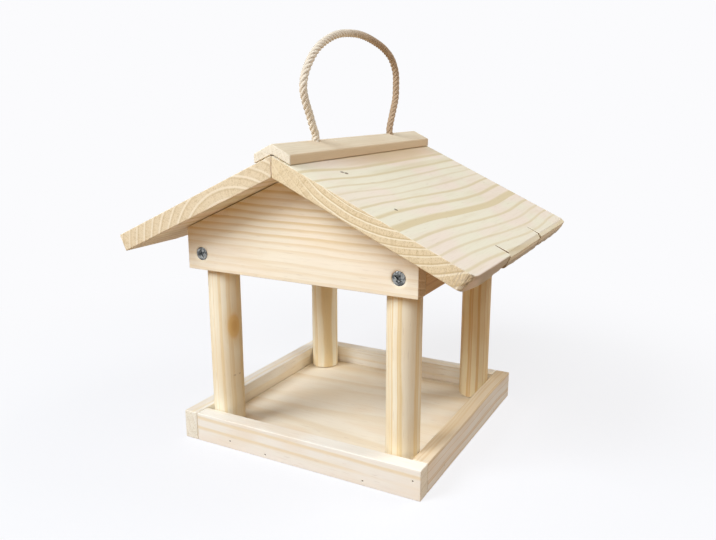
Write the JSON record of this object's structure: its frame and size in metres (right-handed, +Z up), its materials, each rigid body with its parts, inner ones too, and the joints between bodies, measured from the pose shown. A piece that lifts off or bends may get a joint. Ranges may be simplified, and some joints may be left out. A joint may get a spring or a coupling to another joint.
{
  "type": "bird table",
  "caption": "Hanging wooden bird table: an open square tray on round posts under a pitched roof, with a rope loop on its ridge.",
  "frame": {"origin": "under the middle of the roof, level with the underside of the tray", "axes": "+Z up; the ridge runs along Y and the front gable faces -Y; +X is to the right of the front gable, across the roof"},
  "size_m": [0.2278, 0.1848, 0.2545],
  "materials": {
    "strip_pine": "planed, bare pine",
    "post_pine": "turned dowel, bare pine",
    "gable_pine": "planed, bare pine",
    "roof_pine": "planed, bare pine",
    "cap_pine": "planed, bare pine",
    "floor_plywood": "sanded plywood",
    "zinc_plated_steel": "zinc plated",
    "bright_steel": "bright, slightly dulled",
    "rope": "three-strand laid, undyed"
  },
  "bodies": {
    "house": {"front_strip": "strip_pine", "right_strip": "strip_pine", "back_strip": "strip_pine", "left_strip": "strip_pine", "front_floor_pin_1": "bright_steel", "front_floor_pin_2": "bright_steel", "front_floor_pin_3": "bright_steel", "right_floor_pin_1": "bright_steel", "right_floor_pin_2": "bright_steel", "right_floor_pin_3": "bright_steel", "back_floor_pin_1": "bright_steel", "back_floor_pin_2": "bright_steel", "back_floor_pin_3": "bright_steel", "left_floor_pin_1": "bright_steel", "left_floor_pin_2": "bright_steel", "left_floor_pin_3": "bright_steel", "front_corner_pin": "bright_steel", "right_corner_pin": "bright_steel", "back_corner_pin": "bright_steel", "left_corner_pin": "bright_steel", "floor_panel": "floor_plywood", "front_left_post": "post_pine", "front_right_post": "post_pine", "rear_left_post": "post_pine", "rear_right_post": "post_pine", "front_left_floor_screw": "zinc_plated_steel", "front_right_floor_screw": "zinc_plated_steel", "rear_left_floor_screw": "zinc_plated_steel", "rear_right_floor_screw": "zinc_plated_steel", "front_left_post_nail": "bright_steel", "front_right_post_nail": "bright_steel", "rear_left_post_nail": "bright_steel", "rear_right_post_nail": "bright_steel", "front_gable": "gable_pine", "rear_gable": "gable_pine", "left_rail": "gable_pine", "right_rail": "gable_pine", "front_left_gable_screw": "zinc_plated_steel", "front_right_gable_screw": "zinc_plated_steel", "rear_left_gable_screw": "zinc_plated_steel", "rear_right_gable_screw": "zinc_plated_steel", "right_roof_board": "roof_pine", "left_roof_board": "roof_pine", "front_right_roof_pin_1": "bright_steel", "front_right_roof_pin_2": "bright_steel", "rear_right_roof_pin_1": "bright_steel", "rear_right_roof_pin_2": "bright_steel", "front_left_roof_pin_1": "bright_steel", "front_left_roof_pin_2": "bright_steel", "rear_left_roof_pin_1": "bright_steel", "rear_left_roof_pin_2": "bright_steel", "ridge_cap": "cap_pine", "cap_pin_1": "bright_steel", "cap_pin_2": "bright_steel", "front_rope_end": "rope", "rear_rope_end": "rope"},
    "loop": {"rope_loop": "rope"}
  },
  "joints": [
    {"name": "rope_swing", "type": "hinge", "parent": "house", "child": "loop", "pos_m": [0, 0, 0.19378], "axis": [0, 1, 0], "range_deg": [-80, 80], "stiffness_Nm_per_rad": 0.01}
  ]
}
